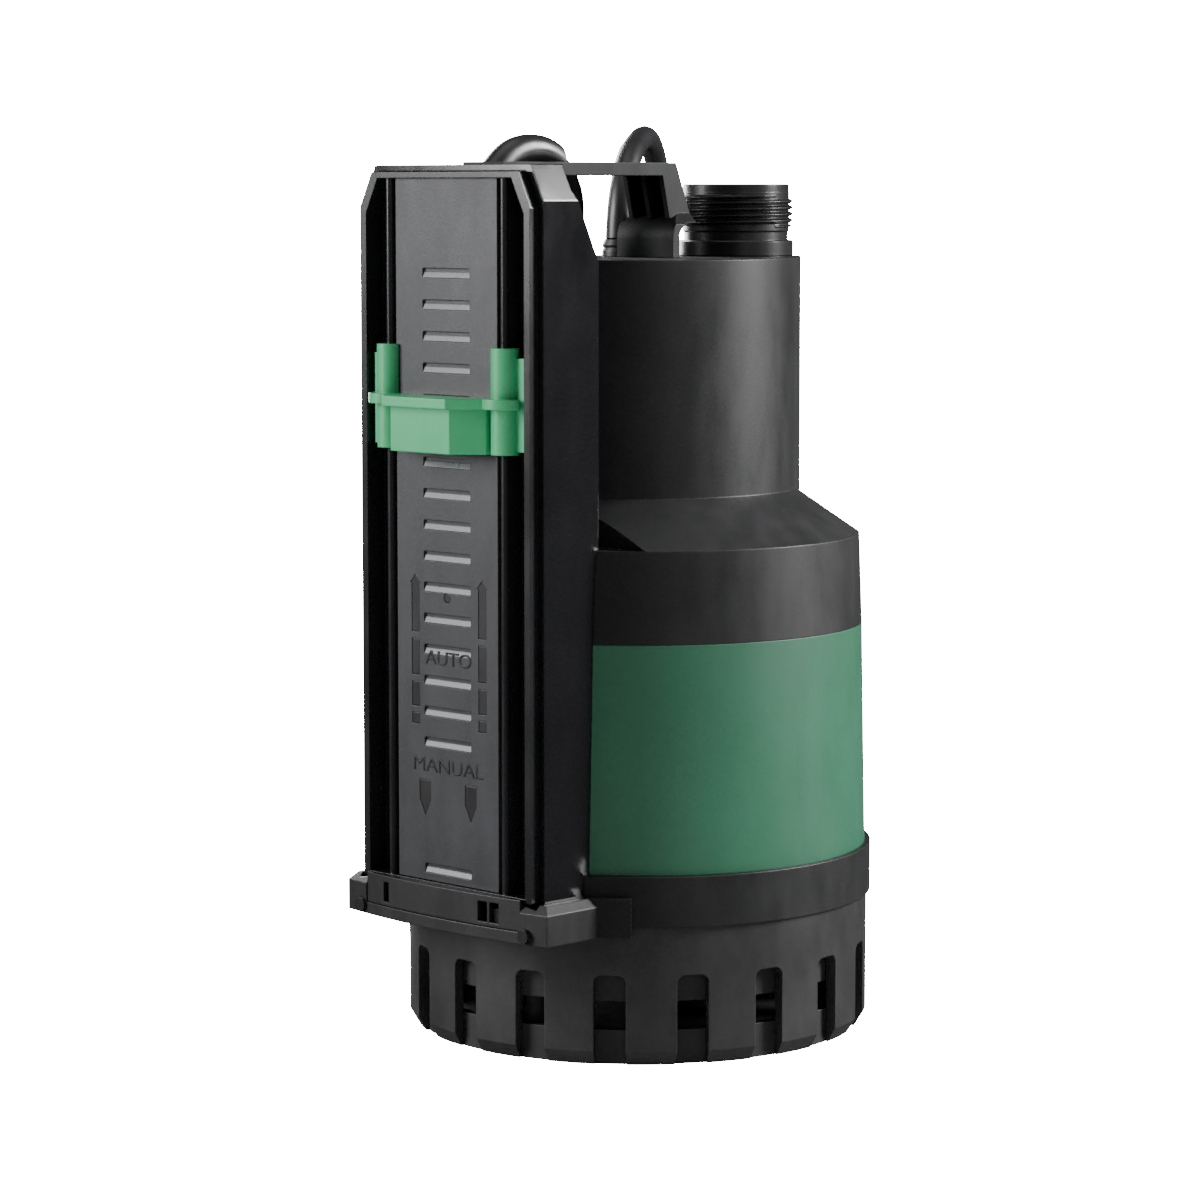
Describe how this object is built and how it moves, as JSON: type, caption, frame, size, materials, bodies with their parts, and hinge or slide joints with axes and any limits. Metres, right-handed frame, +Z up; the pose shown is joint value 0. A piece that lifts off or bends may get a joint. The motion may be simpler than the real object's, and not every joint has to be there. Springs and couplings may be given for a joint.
{
  "type": "submersible drainage pump",
  "caption": "Submersible drainage pump with slotted strainer foot, top threaded outlet, carrying handle, mains cord and a tall level sensor unit with a sliding setting clip.",
  "frame": {"origin": "on the pump's vertical axis at the floor, the centre of the base plate's underside", "axes": "+Z up along the motor shaft, -Y towards the level sensor unit, +Y towards the threaded outlet"},
  "size_m": [0.2465, 0.2792, 0.3235],
  "materials": {
    "casing_black": "fine moulded grain, satin",
    "casing_green": "fine moulded grain, satin",
    "slider_green": "smooth moulded, bright",
    "sensor_black": "gloss",
    "panel_grey": "spark-eroded grain",
    "inner_black": "glass-filled, dull",
    "impeller_resin": "smooth",
    "cord_rubber": "smooth rubber sheath",
    "seal_rubber": "matt",
    "steel": "turned",
    "stator_iron": "stacked laminations",
    "copper": "enamelled wire",
    "contact_brass": "plated",
    "ceramic": "lapped",
    "alloy": "cast",
    "board_green": "coated board",
    "capacitor_grey": "smooth"
  },
  "bodies": {
    "root": {"strainer": "casing_black", "base_plate": "inner_black", "base_screws": "steel", "suction_cover": "inner_black", "wear_ring": "seal_rubber", "diffuser": "inner_black", "flange_o_ring": "seal_rubber", "band_bracket": "casing_black", "bracket_screws": "casing_black", "tray_cover": "casing_black", "casing_sleeve": "casing_green", "upper_casing": "casing_black", "casing_o_ring": "seal_rubber", "tie_screws": "steel", "threaded_outlet": "casing_black", "handle": "casing_black", "handle_screws": "steel", "motor_can": "steel", "lower_bearing_bracket": "alloy", "upper_bearing_bracket": "alloy", "lower_bearing_outer": "steel", "upper_bearing_outer": "steel", "stator_core": "stator_iron", "stator_windings": "copper", "seal_seat": "ceramic", "oil_housing": "inner_black", "shaft_seal": "seal_rubber", "motor_head": "inner_black", "capacitor": "capacitor_grey", "terminal_block": "inner_black", "sensor_housing": "sensor_black", "sensor_bezel": "sensor_black", "scale_panel": "panel_grey", "sensor_board": "board_green", "mains_gland": "seal_rubber", "mains_boot": "cord_rubber", "sensor_gland": "seal_rubber", "sensor_lead": "cord_rubber", "lead_sleeve": "cord_rubber", "mains_cord": "cord_rubber", "cord_tail": "cord_rubber", "cord_coil": "cord_rubber", "coil_tie": "seal_rubber", "plug_body": "cord_rubber", "plug_pins": "contact_brass"},
    "rotor": {"shaft": "steel", "rotor_core": "stator_iron", "impeller": "impeller_resin", "impeller_nut": "steel", "lower_bearing_inner": "steel", "upper_bearing_inner": "steel", "lower_bearing_balls": "steel", "upper_bearing_balls": "steel", "seal_ring": "ceramic", "seal_spring": "steel"},
    "slider": {"slider": "slider_green", "slider_magnets": "stator_iron"}
  },
  "joints": [
    {"name": "slider_slide", "type": "slide", "parent": "root", "child": "slider", "axis": [0, 0, 1], "range_m": [-0.1401, 0.0431]},
    {"name": "rotor_spin", "type": "hinge", "parent": "root", "child": "rotor", "pos_m": [0, 0, 0.1], "axis": [0, 0, 1], "continuous": true}
  ]
}
